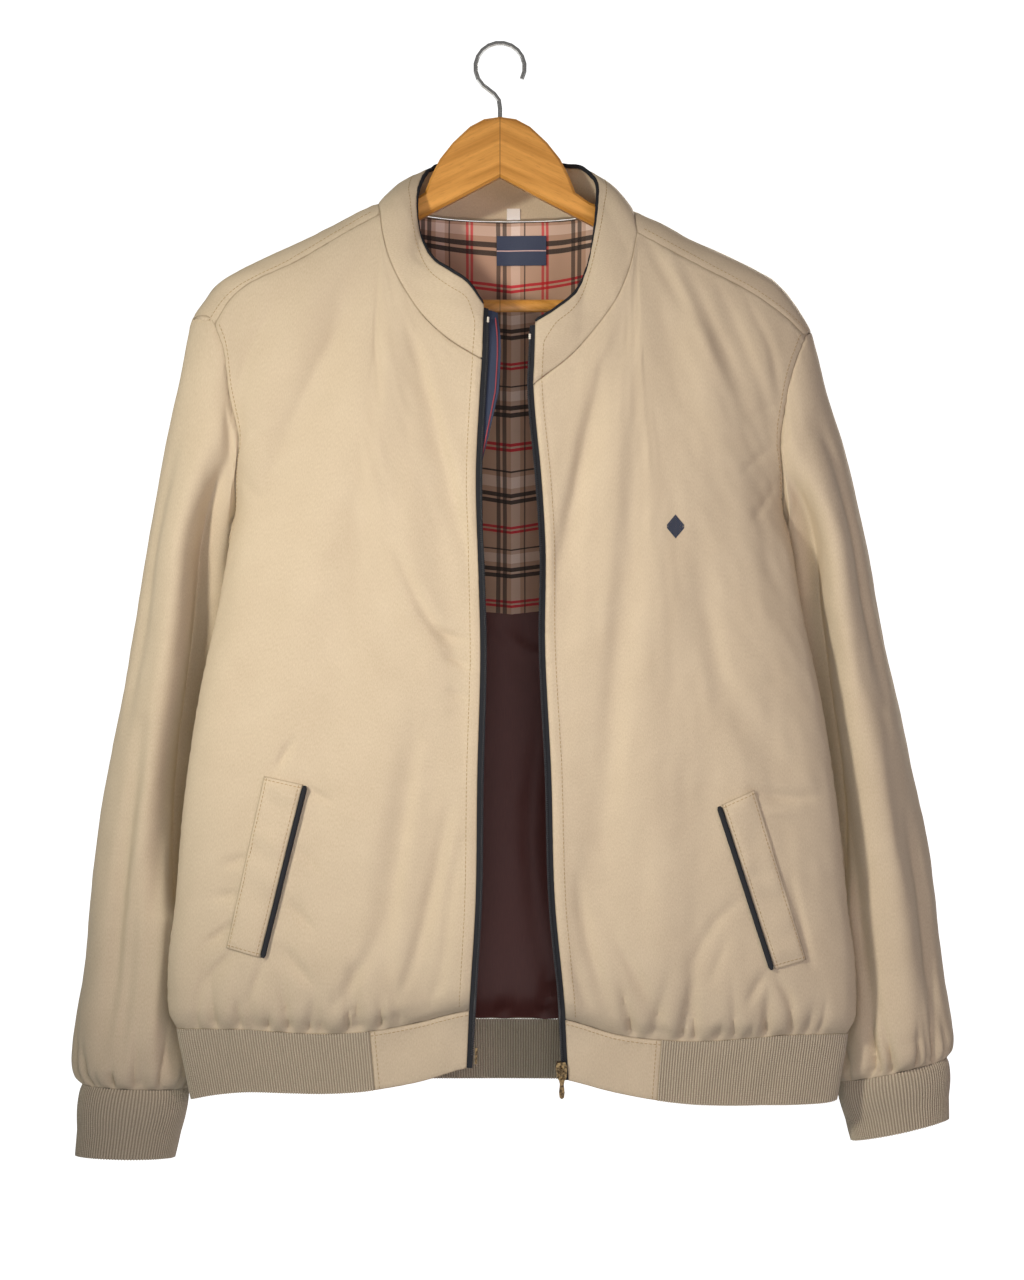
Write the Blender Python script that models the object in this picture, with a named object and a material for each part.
"""A men's bomber jacket hanging unzipped on a wooden hanger.

Every cloth piece is a thin wall. The two fronts, the back and the rib hem are cut from one body
surface, which a table of level sections gives; the sleeves are tubes through tilted rings that start
at the armholes. The origin is the inside of the hook's top, +Z is up and the fronts face -Y.
"""

import math

import bmesh
import bpy
import numpy as np
from mathutils import Vector
from mathutils.bvhtree import BVHTree

# ---------------------------------------------------------------- driving sizes, in metres
JACKET_X = 0.0094          # the jacket has slipped this far along the hanger
SHELL = 0.0015             # wall of the woven shell
LINING = 0.0010
RIB_WALL = 0.0022
COLLAR_WALL = 0.0026       # two layers of shell with an interlining
SEAM_GAP = 0.0003          # between pieces at a seam
LAYER_GAP = 0.0005         # between a panel and what lies on it
FRONT_ROUND = 2.2          # exponents of the section's front and back halves
BACK_ROUND = 1.8
RIB_PITCH = 0.0036         # one raised rib stands for two of the knitted ones
RIB_RISE = 0.0005
ZIP_WIDTH = 0.0058         # tape and coil that show beside each front edge
ZIP_WALL = 0.0016
PIPING_RADIUS = 0.0018
WOOD_THICK = 0.012
BAR_RADIUS = 0.0054
BAR_LENGTH = 0.4046         # between the seats in the hanger's ends
WIRE_RADIUS = 0.0020
HOOK_RADIUS = 0.021        # to the middle of the wire

UNDERARM_Z = -0.400
SHOULDER_TIP_Z = {-1: -0.2359, 1: -0.2453}
BAND_END_X = {-1: -0.116, 1: 0.1245}     # where the plain hem bands meet the rib
LINING_JOIN_Z = -0.498


def table(columns, *rows):
    """A dict of named columns from rows written in that order."""
    return dict(zip(columns.split(), np.array(rows, float).T))


# Level sections of the body. left and right are half widths to -X and +X, and the y columns are where
# the front, the sides and the back lie. Above the shoulder tips the half width is the shoulder line's.
BODY = table(
    "z       left    right   front    side    back",
    (-0.9050, 0.2690, 0.2750, -0.0460, -0.016, 0.0400),
    (-0.8700, 0.2760, 0.2800, -0.0480, -0.017, 0.0420),
    (-0.8360, 0.2825, 0.2850, -0.0530, -0.018, 0.0450),
    (-0.8000, 0.2845, 0.2860, -0.0660, -0.020, 0.0500),
    (-0.7230, 0.2825, 0.2830, -0.0780, -0.021, 0.0540),
    (-0.6400, 0.2760, 0.2745, -0.0815, -0.021, 0.0560),
    (-0.5570, 0.2640, 0.2620, -0.0815, -0.020, 0.0560),
    (-0.4700, 0.2462, 0.2440, -0.0790, -0.016, 0.0550),
    (-0.4300, 0.2400, 0.2385, -0.0770, -0.011, 0.0540),
    (-0.3908, 0.2344, 0.2310, -0.0750, -0.006, 0.0530),
    (-0.3500, 0.2440, 0.2420, -0.0720, -0.003, 0.0520),
    (-0.3000, 0.2600, 0.2540, -0.0670, 0.000, 0.0500),
    (-0.2620, 0.2700, 0.2600, -0.0600, 0.000, 0.0480),
    (-0.2359, 0.2728, 0.2520, -0.0550, 0.000, 0.0460),
    (-0.2188, 0.2617, 0.2405, -0.0520, 0.000, 0.0450),
    (-0.2009, 0.2473, 0.2250, -0.0480, 0.000, 0.0435),
    (-0.1711, 0.1876, 0.1646, -0.0420, 0.000, 0.0400),
    (-0.1421, 0.1287, 0.1074, -0.0360, 0.000, 0.0360),
    (-0.1200, 0.0840, 0.0640, -0.0320, 0.000, 0.0320),
)

# The soft folds that show from across a room. A fold runs from (x1, z1) to (x2, z2) on the front
# (face -1) or the back (face 1); depth is how far it stands out, or in where it is negative.
FOLDS = [
    dict(zip("face x1 z1 x2 z2 width depth".split(), row))
    for row in (
        (-1, -0.118, -0.170, -0.204, -0.410, 0.018, -0.0050),
        (-1, -0.150, -0.190, -0.222, -0.360, 0.014, 0.0045),
        (-1, -0.090, -0.230, -0.165, -0.450, 0.022, 0.0050),
        (-1, -0.078, -0.270, -0.048, -0.520, 0.015, -0.0060),
        (-1, -0.050, -0.480, -0.036, -0.640, 0.012, -0.0050),
        (-1, -0.062, -0.560, -0.074, -0.820, 0.018, -0.0055),
        (-1, -0.105, -0.600, -0.110, -0.830, 0.022, 0.0050),
        (-1, -0.180, -0.740, -0.255, -0.700, 0.014, -0.0030),
        (-1, 0.112, -0.185, 0.150, -0.330, 0.014, -0.0050),
        (-1, 0.140, -0.190, 0.200, -0.420, 0.016, 0.0050),
        (-1, 0.160, -0.205, 0.218, -0.360, 0.012, -0.0045),
        (-1, 0.062, -0.310, 0.040, -0.520, 0.015, -0.0060),
        (-1, 0.100, -0.300, 0.092, -0.640, 0.024, 0.0050),
        (-1, 0.066, -0.600, 0.074, -0.820, 0.018, -0.0050),
        (-1, 0.120, -0.640, 0.128, -0.820, 0.020, 0.0045),
        (1, -0.085, -0.180, -0.190, -0.420, 0.020, -0.0050),
        (1, 0.085, -0.190, 0.185, -0.430, 0.020, -0.0050),
        (1, -0.040, -0.250, -0.070, -0.760, 0.030, 0.0060),
        (1, 0.060, -0.240, 0.050, -0.780, 0.030, 0.0055),
        (1, -0.150, -0.420, -0.160, -0.800, 0.026, -0.0050),
        (1, 0.150, -0.430, 0.170, -0.800, 0.026, -0.0045),
    )
]

# The centre front edges: x of each front's edge at heights down the jacket, collar and band included.
FRONT_EDGE = table(
    "z       left     right",
    (-0.9000, -0.0385, 0.0500),
    (-0.8620, -0.0367, 0.0476),
    (-0.8120, -0.0345, 0.0446),
    (-0.7230, -0.0293, 0.0363),
    (-0.6190, -0.0279, 0.0332),
    (-0.5100, -0.0254, 0.0282),
    (-0.4300, -0.0278, 0.0286),
    (-0.3724, -0.0291, 0.0252),
    (-0.3100, -0.0264, 0.0196),
    (-0.2742, -0.0243, 0.0180),
    (-0.2200, -0.0215, 0.0175),
)

# Seam lines on the fronts, as (x, z) in front view, each from its first named end to its second.
NECK_SEAM = {      # centre front to the shoulder seam
    -1: table("x z", (-0.0243, -0.2742), (-0.0513, -0.2573), (-0.0711, -0.2392), (-0.0888, -0.2140),
              (-0.1013, -0.1888), (-0.1088, -0.1600), (-0.1105, -0.1472)),
    1: table("x z", (0.0185, -0.2953), (0.0264, -0.2890), (0.0482, -0.2720), (0.0702, -0.2472),
             (0.0891, -0.2197), (0.0995, -0.1943), (0.1062, -0.1637)),
}
SHOULDER_SEAM = {  # neck to the armhole seam
    -1: table("x z", (-0.1105, -0.1472), (-0.1276, -0.1563), (-0.1783, -0.1864), (-0.2366, -0.2189),
              (-0.2488, -0.2408)),
    1: table("x z", (0.1062, -0.1637), (0.1567, -0.1912), (0.2085, -0.2180), (0.2322, -0.2343),
             (0.2516, -0.2505)),
}
# The armhole, as angles round the body at shares of the height from the underarm to the shoulder tip.
ARMHOLE_FRONT = table(
    "height left  right",
    (1.000, 90.0, 90.0),
    (0.968, 66.1, 75.6),
    (0.840, 64.0, 68.0),
    (0.610, 66.0, 66.5),
    (0.356, 68.6, 68.9),
    (0.166, 79.5, 79.0),
    (0.000, 90.0, 90.0),
)
ARMHOLE_BACK = table(
    "height left   right",
    (1.000, 90.0, 90.0),
    (0.940, 102.0, 100.0),
    (0.800, 111.0, 110.0),
    (0.600, 113.0, 113.0),
    (0.350, 110.0, 110.0),
    (0.150, 101.0, 101.0),
    (0.000, 90.0, 90.0),
)
# The hem seam and the hem's lower edge, by the angle round the body. The front corners ride up.
HEM = table(
    "girth  seam     edge",
    (-180., -0.8362, -0.8872),
    (-115., -0.8355, -0.8880),
    (-90.0, -0.8355, -0.8950),
    (-55.0, -0.8335, -0.8868),
    (-24.0, -0.8330, -0.8830),
    (-16.0, -0.8260, -0.8760),
    (-7.00, -0.8150, -0.8640),
    (9.50, -0.8235, -0.8745),
    (18.0, -0.8360, -0.8850),
    (26.0, -0.8410, -0.8920),
    (55.0, -0.8385, -0.8975),
    (90.0, -0.8395, -0.8950),
    (115.0, -0.8378, -0.8895),
    (180.0, -0.8362, -0.8872),
)
# The collar's top edge, at shares of the way from the -X front end round the back to the +X end.
COLLAR_TOP = table(
    "share x        y       z",
    (0.00, -0.0223, -0.0600, -0.2286),
    (0.03, -0.0350, -0.0590, -0.2115),
    (0.07, -0.0500, -0.0555, -0.2005),
    (0.11, -0.0650, -0.0440, -0.1890),
    (0.16, -0.0750, -0.0300, -0.1690),
    (0.21, -0.0790, -0.0240, -0.1450),
    (0.26, -0.0788, -0.0120, -0.1230),
    (0.31, -0.0730, 0.0120, -0.1040),
    (0.37, -0.0590, 0.0310, -0.0965),
    (0.50, 0.0000, 0.0460, -0.0960),
    (0.63, 0.0480, 0.0330, -0.0975),
    (0.69, 0.0660, 0.0140, -0.1030),
    (0.74, 0.0735, -0.0040, -0.1170),
    (0.80, 0.0728, -0.0220, -0.1420),
    (0.85, 0.0690, -0.0330, -0.1680),
    (0.90, 0.0615, -0.0420, -0.2010),
    (0.94, 0.0520, -0.0520, -0.2200),
    (0.97, 0.0370, -0.0580, -0.2320),
    (1.00, 0.0200, -0.0610, -0.2430),
)
COLLAR_SHOULDER_SHARE = {-1: 0.27, 1: 0.75}   # where the shoulder seams meet the collar

# Sleeve rings from the shoulder down: x and z of the outer and the inner edge in front view, y of the
# middle, half the depth in y, and how far the front and the back bow towards the body.
SLEEVE = {
    -1: table(
        "outer_x  outer_z  inner_x  inner_z  y      depth  bow",
        (-0.2833, -0.2887, -0.2440, -0.4045, 0.002, 0.040, 0.020),
        (-0.2945, -0.3358, -0.2425, -0.4140, 0.010, 0.046, 0.012),
        (-0.3073, -0.3957, -0.2395, -0.4370, 0.022, 0.050, 0.005),
        (-0.3210, -0.4728, -0.2360, -0.4880, 0.034, 0.051, 0.0),
        (-0.3458, -0.6029, -0.2470, -0.6090, 0.040, 0.048, 0.0),
        (-0.3604, -0.6970, -0.2560, -0.7010, 0.040, 0.045, 0.0),
        (-0.3698, -0.7895, -0.2640, -0.7920, 0.036, 0.042, 0.0),
        (-0.3766, -0.8560, -0.2700, -0.8620, 0.028, 0.040, 0.0),
        (-0.3745, -0.8780, -0.2740, -0.8820, 0.024, 0.032, 0.0),
        (-0.3698, -0.8888, -0.2770, -0.8922, 0.022, 0.024, 0.0),
    ),
    1: table(
        "outer_x  outer_z  inner_x  inner_z  y      depth  bow",
        (0.2690, -0.2980, 0.2440, -0.4045, 0.002, 0.040, 0.018),
        (0.2840, -0.3400, 0.2425, -0.4140, 0.010, 0.046, 0.012),
        (0.3000, -0.4000, 0.2395, -0.4370, 0.022, 0.050, 0.005),
        (0.3170, -0.4780, 0.2360, -0.4900, 0.034, 0.051, 0.0),
        (0.3455, -0.6090, 0.2470, -0.6140, 0.040, 0.048, 0.0),
        (0.3620, -0.6980, 0.2570, -0.7040, 0.040, 0.045, 0.0),
        (0.3735, -0.7830, 0.2660, -0.7930, 0.036, 0.042, 0.0),
        (0.3790, -0.8380, 0.2740, -0.8560, 0.028, 0.040, 0.0),
        (0.3785, -0.8560, 0.2790, -0.8760, 0.024, 0.032, 0.0),
        (0.3758, -0.8660, 0.2805, -0.8868, 0.022, 0.024, 0.0),
    ),
}
# The cuffs: the same, at the seam and at the open edge.
CUFF_EDGE = {
    -1: table("outer_x outer_z inner_x inner_z y depth bow", (-0.3749, -0.9496, -0.2893, -0.9513, 0.020, 0.020, 0.0)),
    1: table("outer_x outer_z inner_x inner_z y depth bow", (0.3766, -0.9180, 0.2927, -0.9368, 0.020, 0.020, 0.0)),
}
# Long soft folds down the sleeves: the angle round the ring (0 outside, 90 front, 180 inside), the
# shares along between which the fold runs, its width in degrees and its depth.
SLEEVE_FOLDS = {
    -1: table("turn  start end   width depth", (122, 0.02, 0.62, 16, -0.013), (88, 0.10, 0.80, 22, 0.004),
              (255, 0.05, 0.60, 18, -0.009), (60, 0.55, 0.97, 16, -0.005), (300, 0.40, 0.95, 20, 0.004)),
    1: table("turn  start end   width depth", (112, 0.03, 0.72, 17, -0.013), (140, 0.05, 0.60, 12, 0.005),
             (250, 0.05, 0.62, 18, -0.009), (66, 0.50, 0.97, 16, -0.005), (305, 0.40, 0.95, 20, 0.004)),
}


# ---------------------------------------------------------------- curves through tables
def smooth(knots, values, at):
    """A cubic through (knots, values), with slopes from the neighbours. Knots ascend."""
    knots, values, at = (np.asarray(a, float) for a in (knots, values, at))
    slopes = np.gradient(values, knots, axis=0)
    i = np.clip(np.searchsorted(knots, at, side="right") - 1, 0, len(knots) - 2)
    span = knots[i + 1] - knots[i]
    t = np.clip((at - knots[i]) / span, 0, 1)
    if values.ndim > 1:
        t, span = t[..., None], span[..., None]
    start, end = values[i], values[i + 1]
    return (
        (1 + 2 * t) * (1 - t) ** 2 * start
        + t * (1 - t) ** 2 * span * slopes[i]
        + t * t * (3 - 2 * t) * end
        + t * t * (t - 1) * span * slopes[i + 1]
    )


def along_curve(points, share):
    """Points at shares of the length of the smooth curve through a short list of points."""
    points = np.asarray(points, float)
    length = np.r_[0, np.cumsum(np.linalg.norm(np.diff(points, axis=0), axis=1))]
    return smooth(length / length[-1], points, share)


def from_table(source, key, column, at):
    """One column of a table whose key column ascends."""
    return smooth(source[key], source[column], at)


# ---------------------------------------------------------------- the body surface
def half_width(side, z):
    return np.where(
        np.asarray(side) < 0, from_table(BODY, "z", "left", z), from_table(BODY, "z", "right", z)
    )


def fold_rise(face, x, z):
    """How far the folds lift the cloth at (x, z) of the front (-1) or the back (1)."""
    rise = np.zeros(np.broadcast(x, z).shape)
    for fold in FOLDS:
        start = np.array([fold["x1"], fold["z1"]])
        run = np.array([fold["x2"], fold["z2"]]) - start
        share = ((x - start[0]) * run[0] + (z - start[1]) * run[1]) / (run @ run)
        held = np.clip(share, 0, 1)
        away = np.hypot(x - start[0] - held * run[0], z - start[1] - held * run[1])
        fade = np.sin(np.pi * (0.12 + 0.76 * held))
        rise = rise + fold["depth"] * fade * np.exp(-((away / fold["width"]) ** 2)) * (face == fold["face"])
    return rise


def body_point(girth, z):
    """A point of the body surface. girth is in degrees: 0 at the centre front, 90 at the +X side,
    180 at the centre back, and negative round the -X side."""
    girth, z = np.broadcast_arrays(np.asarray(girth, float), np.asarray(z, float))
    girth = (girth + 180) % 360 - 180
    side = np.where(girth < 0, -1, 1)
    reach = np.abs(np.sin(np.radians(girth)))
    face = np.where(np.abs(girth) <= 90, -1, 1)
    power = np.where(face < 0, FRONT_ROUND, BACK_ROUND)
    level = {name: from_table(BODY, "z", name, z) for name in ("front", "side", "back")}
    out = (1 - np.minimum(reach, 1) ** power) ** (1 / power)
    x = side * half_width(side, z) * reach
    y = level["side"] + (np.where(face < 0, level["front"], level["back"]) - level["side"]) * out
    y = y + face * fold_rise(face, x, z) * (1 - reach**8)
    return np.stack([x + JACKET_X, y, z], axis=-1)


def girth_of(x, z):
    """The girth of a point of the front that shows at (x, z), x from the jacket's middle."""
    x = np.asarray(x, float)
    return np.degrees(np.arcsin(np.clip(x / half_width(np.sign(x), z), -1, 1)))


# ---------------------------------------------------------------- gathers above the ribs
def gather_list(seed, start, end, pitch):
    """Uneven gathers between two places along a seam: (place, half width, length, rise) each."""
    draw = np.random.default_rng(seed)
    count = round((end - start) / pitch)
    places = start + (np.arange(count) + 0.5 + draw.uniform(-0.28, 0.28, count)) * (end - start) / count
    return np.stack(
        [places, draw.uniform(0.26, 0.42, count) * pitch, draw.uniform(0.020, 0.055, count),
         draw.uniform(0.0022, 0.0046, count)], axis=1,
    )


def gather_rise(gathers, place, above):
    """How far the gathers lift the cloth at a place along the seam, a height above it."""
    swell = np.clip(above / 0.010, 0, 1)
    rise = 0.0
    for centre, half, length, high in gathers:
        rise = rise + high * np.exp(-(((place - centre) / half) ** 2)) * np.exp(-((above / length) ** 2))
    return swell * rise


BODY_GATHERS = np.vstack([
    gather_list(3, -176, -26, 8.0),
    gather_list(5, 28, 176, 8.0),
])
PINCH = 0.0030             # how far the rib draws the cloth in at the hem seam


def shell_point(girth, z):
    """The body surface as the shell wears it, with its gathers above the hem seam."""
    above = z - from_table(HEM, "girth", "seam", girth)
    face = np.where(np.abs(girth) <= 90, -1.0, 1.0)
    lean = np.abs(np.sin(np.radians(girth))) ** 3
    direction = np.stack([np.sign(girth) * lean, face * (1 - lean), np.zeros_like(lean)], axis=-1)
    off_side = 1 - np.exp(-(((np.abs(girth) - 90) / 9) ** 2))
    rise = gather_rise(BODY_GATHERS, girth, above) * off_side + PINCH * (1 - np.exp(-((above / 0.012) ** 2)))
    rise = rise * np.exp(-((above / 0.09) ** 4))
    return body_point(girth, z) + direction * rise[..., None]


def surface_normal(surface, a, b, step_a, step_b):
    """Outward normals of a surface(a, b), by differences."""
    across = surface(a + step_a, b) - surface(a - step_a, b)
    up = surface(a, b + step_b) - surface(a, b - step_b)
    normal = np.cross(across, up)
    return normal / np.linalg.norm(normal, axis=-1, keepdims=True)


def shell_normal(girth, z):
    return surface_normal(shell_point, girth, z, 1.5, 0.002)


# ---------------------------------------------------------------- walls
def strip(faces, a, share_a, b, share_b):
    """Triangles between two lines of points, which may have unlike counts."""
    i = j = 0
    while i < len(a) - 1 or j < len(b) - 1:
        step_a = j == len(b) - 1 or (i < len(a) - 1 and share_a[i + 1] <= share_b[j + 1] + 1e-9)
        if step_a:
            faces.append((a[i], a[i + 1], b[j]))
            i += 1
        else:
            faces.append((a[i], b[j + 1], b[j]))
            j += 1


class Cloth:
    """One face of a cloth piece: points with outward normals, and triangles between lines of them."""

    def __init__(self):
        self.points, self.normals, self.faces = [], [], []

    def add(self, points, normals):
        first = len(self.points)
        self.points.extend(np.asarray(points, float))
        self.normals.extend(np.asarray(normals, float))
        return list(range(first, first + len(points)))

    def join(self, a, share_a, b, share_b, closed=False):
        if closed:
            a, b = a + a[:1], b + b[:1]
            share_a, share_b = np.r_[share_a, 1.0], np.r_[share_b, 1.0]
        new = []
        strip(new, a, share_a, b, share_b)
        corners, normals = np.array(self.points)[new], np.array(self.normals)[new]
        facing = np.cross(corners[:, 1] - corners[:, 0], corners[:, 2] - corners[:, 0])
        turned = np.einsum("ij,ij->", facing, normals.sum(axis=1)) < 0
        self.faces += [face[::-1] for face in new] if turned else new

    def settled(self):
        """Points with the rims drawn in by half a seam gap, normals, triangles and rim edges."""
        points, normals, faces = np.array(self.points), np.array(self.normals), np.array(self.faces)
        rim = rim_edges(faces)
        inward = {}
        for a, b in rim:
            edge = points[b] - points[a]
            for end in (a, b):
                turn = np.cross(normals[end], edge)
                inward.setdefault(end, []).append(turn / np.linalg.norm(turn))
        for end, turns in inward.items():
            both = np.sum(turns, axis=0)
            if len(turns) == 2:
                both = both / max(1 + float(turns[0] @ turns[1]), 0.5)
            points[end] += both * SEAM_GAP / 2
        return points, normals, faces, rim


def seam_normals(own, others, into):
    """Normals along a seam: the other piece's where the seam bends outwards, so that the walls never
    cross, and the piece's own where it bends inwards. into is the way into the piece."""
    into = into / np.linalg.norm(into, axis=1, keepdims=True)
    bend = np.sum(into * others, axis=1, keepdims=True)
    mixed = own + (others - own) * np.clip(0.5 - bend / 0.2, 0, 1)
    return mixed / np.linalg.norm(mixed, axis=1, keepdims=True)


def rim_edges(faces):
    edges = {(int(f[k]), int(f[(k + 1) % 3])) for f in faces for k in range(3)}
    return [(a, b) for a, b in sorted(edges) if (b, a) not in edges]


def cloth_wall(name, cloth, thickness, material, lift=0.0):
    """A closed wall, its outer face lift out from the cloth's face and its inner face thickness below."""
    points, normals, faces, rim = cloth.settled()
    count = len(points)
    places = np.vstack([points + normals * lift, points + normals * (lift - thickness)])
    sides = [f for a, b in rim for f in ((b, a, a + count), (b, a + count, b + count))]
    return mesh_object(name, places, [tuple(f) for f in faces] + [tuple(f[::-1] + count) for f in faces] + sides, material)


class Rows:
    """Lines of points across a cloth piece, from one edge to the other; each has its own shares 0..1."""

    def __init__(self, closed=False):
        self.points, self.shares, self.closed = [], [], closed

    def add(self, points, shares):
        self.points.append(np.asarray(points, float))
        self.shares.append(np.asarray(shares, float))

    def copy_moved(self, normals, distance):
        moved = Rows(self.closed)
        for points, shares, normal in zip(self.points, self.shares, normals):
            moved.add(points - normal * distance, shares)
        return moved


def drawn_back(points, towards, distance):
    """Edge points moved a little way towards the cloth's inside."""
    away = towards - points
    return points + away / np.linalg.norm(away, axis=-1, keepdims=True) * distance


def trim(rows, ends=(True, True), sides=True):
    """Takes half a seam gap off a piece's first and last rows and off its two sides."""
    half = SEAM_GAP / 2
    points, shares = rows.points, rows.shares
    for edge, near, wanted in ((0, 1, ends[0]), (-1, -2, ends[1])):
        if wanted:
            inner = np.stack([np.interp(shares[edge], shares[near], points[near][:, k]) for k in range(3)], 1)
            points[edge] = drawn_back(points[edge], inner, half)
    if sides and not rows.closed:
        for line in points:
            line[0], line[-1] = drawn_back(line[0], line[1], half), drawn_back(line[-1], line[-2], half)


def wall(name, outer, inner, material):
    """One closed wall between an outer and an inner set of rows, as a mesh object."""
    points, faces, numbers = [], [], {}
    for label, rows in (("outer", outer), ("inner", inner)):
        for k, line in enumerate(rows.points):
            first = len(points)
            points.extend(line)
            ids = list(range(first, len(points)))
            shares = list(rows.shares[k])
            if rows.closed:
                ids.append(first)
                shares.append(1.0)
            numbers[label, k] = (ids, shares)
        for k in range(len(rows.points) - 1):
            strip(faces, *numbers[label, k], *numbers[label, k + 1])
    last = {"outer": len(outer.points) - 1, "inner": len(inner.points) - 1}
    strip(faces, *numbers["outer", 0], *numbers["inner", 0])
    strip(faces, *numbers["outer", last["outer"]], *numbers["inner", last["inner"]])
    if not outer.closed:
        for end in (0, -1):
            lines = []
            for label in ("outer", "inner"):
                ids = [numbers[label, k][0][end] for k in range(last[label] + 1)]
                lines += [ids, np.linspace(0, 1, len(ids))]
            strip(faces, *lines)
    return mesh_object(name, points, faces, material)


def mesh_object(name, points, faces, material):
    mesh = bpy.data.meshes.new(name)
    mesh.from_pydata([tuple(p) for p in points], [], faces)
    work = bmesh.new()
    work.from_mesh(mesh)
    bmesh.ops.recalc_face_normals(work, faces=work.faces)
    if work.calc_volume(signed=True) < 0:
        bmesh.ops.reverse_faces(work, faces=work.faces)
    work.to_mesh(mesh)
    work.free()
    return finish_object(bpy.data.objects.new(name, mesh), material)


def finish_object(obj, material):
    if obj.name not in JACKET.objects:
        JACKET.objects.link(obj)
    obj.data.materials.clear()
    obj.data.materials.append(material)
    return obj


def new_material(name, colour, roughness, metallic=0.0):
    made = bpy.data.materials.new(name)
    made.use_nodes = True
    shader = made.node_tree.nodes["Principled BSDF"]
    shader.inputs["Base Color"].default_value = (*colour, 1)
    shader.inputs["Roughness"].default_value = roughness
    shader.inputs["Metallic"].default_value = metallic
    return made


# ---------------------------------------------------------------- fronts and back
def patch(bottom, top, inner, outer, across, up):
    """(x, z) inside four edge curves: across runs from inner to outer and up from bottom to top."""
    across, up = np.asarray(across)[:, None], np.full((len(across), 1), up)
    flat = (
        (1 - up) * bottom(across[:, 0]) + up * top(across[:, 0])
        + (1 - across) * inner(up[:, 0]) + across * outer(up[:, 0])
    )
    for i in (0, 1):
        for j in (0, 1):
            corner = (bottom, top)[j](np.array([float(i)]))
            flat = flat - (across if i else 1 - across) * (up if j else 1 - up) * corner
    return flat


def pair(x, z):
    x, z = np.broadcast_arrays(x, z)
    return np.stack([x, z], axis=-1)


def seam_z(girth):
    return from_table(HEM, "girth", "seam", girth)


def on_body(girth, z):
    """(x, z) in front view, x from the jacket's middle, of a place given by its girth."""
    return pair(half_width(girth, z) * np.sin(np.radians(girth)), z)


def body_places(face, flat):
    """(girth, z) of places (x, z) on the front (-1) or the back (1)."""
    girth = girth_of(flat[:, 0], flat[:, 1])
    if face > 0:
        girth = np.where(flat[:, 0] < 0, -180 - girth, 180 - girth)
    return girth, flat[:, 1]


def armhole_curve(side, half, share):
    """(girth, z) along the front or back half of an armhole, from the shoulder tip to the underarm."""
    rows = ARMHOLE_FRONT if half == "front" else ARMHOLE_BACK
    girth = rows["left" if side < 0 else "right"]
    z = UNDERARM_Z + (SHOULDER_TIP_Z[side] - UNDERARM_Z) * rows["height"]
    metres_a_degree = 0.0028
    place = along_curve(np.stack([girth * metres_a_degree, z], axis=1), share)
    return side * place[..., 0] / metres_a_degree, place[..., 1]


def shoulder_share(side):
    """The share of the front half of the armhole at which the shoulder seam meets it."""
    shares = np.linspace(0, 0.4, 401)
    wanted = UNDERARM_Z + (SHOULDER_TIP_Z[side] - UNDERARM_Z) * ARMHOLE_FRONT["height"][1]
    target = ARMHOLE_FRONT["left" if side < 0 else "right"][1]
    girth, z = armhole_curve(side, "front", shares)
    return shares[(np.abs(np.abs(girth) - target) * 0.0028 + np.abs(z - wanted)).argmin()]


SIDE_SEAM_SHARE = 0.66     # of a panel's rows that lie below the underarm
NECK_SHARE = {"front": 0.46, "back": 0.42}   # of a panel's columns that end at the neck
RIDGE_NECK_Z = {-1: -0.1345, 1: -0.1404}     # where the shoulder's ridge meets the neck seam
BACK_NECK = table("x z", (0.0, -0.1450), (0.045, -0.1440), (0.080, -0.1405))


def seam_on_front(seam, share):
    """(x, z) along a seam that is tabled in front view."""
    return along_curve(np.stack([seam["x"], seam["z"]], axis=1), share)


def shoulder_seam(side, share):
    """(x, z) along the shoulder seam, which ends on the armhole."""
    stops = np.stack([SHOULDER_SEAM[side]["x"], SHOULDER_SEAM[side]["z"]], axis=1)
    stops[-1] = on_body(*armhole_curve(side, "front", shoulder_share(side)))
    return along_curve(stops, share)


def side_edge(side, half, v):
    """(x, z) up the side seam and then up the front or back half of the armhole."""
    low = seam_z(side * 90.0)
    z = low + (UNDERARM_Z - low) * np.clip(v / SIDE_SEAM_SHARE, 0, 1)
    stop = shoulder_share(side) if half == "front" else 0.0
    up_arm = np.clip((v - SIDE_SEAM_SHARE) / (1 - SIDE_SEAM_SHARE), 0, 1)
    arm = on_body(*armhole_curve(side, half, 1 - up_arm * (1 - stop)))
    return np.where((v <= SIDE_SEAM_SHARE)[:, None], on_body(side * 90.0 + 0 * z, z), arm)


def zip_x(side, z):
    return from_table(FRONT_EDGE, "z", "left" if side < 0 else "right", z)


def front_edges(side):
    """The four edge curves of a front, from its zip edge to its side."""
    neck = NECK_SEAM[side]
    start = float(girth_of(zip_x(side, -0.82), -0.82))
    low = float(seam_z(start))

    def inner(v):
        z = low + (neck["z"][0] - low) * v
        return pair(zip_x(side, z) + (neck["x"][0] - zip_x(side, neck["z"][0])) * v**8, z)

    def bottom(u):
        girth = start + (side * 90 - start) * u
        place = on_body(girth, seam_z(girth))
        return place + (inner(np.array([0.0])) - place[:1] * 0 - on_body(np.array([start]), np.array([low]))) * (1 - u)[:, None]

    def top(u):
        split = NECK_SHARE["front"]
        at_neck = seam_on_front(neck, np.clip(u / split, 0, 1))
        at_shoulder = shoulder_seam(side, np.clip((u - split) / (1 - split), 0, 1))
        return np.where((u <= split)[:, None], at_neck, at_shoulder)

    return bottom, top, inner, lambda v: side_edge(side, "front", v)


def ridge(side, share):
    """(x, z) along the shoulder's ridge, from the neck to the shoulder tip."""
    z = RIDGE_NECK_Z[side] + (SHOULDER_TIP_Z[side] - RIDGE_NECK_Z[side]) * share
    return on_body(side * 90.0 + 0 * z, z)


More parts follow.
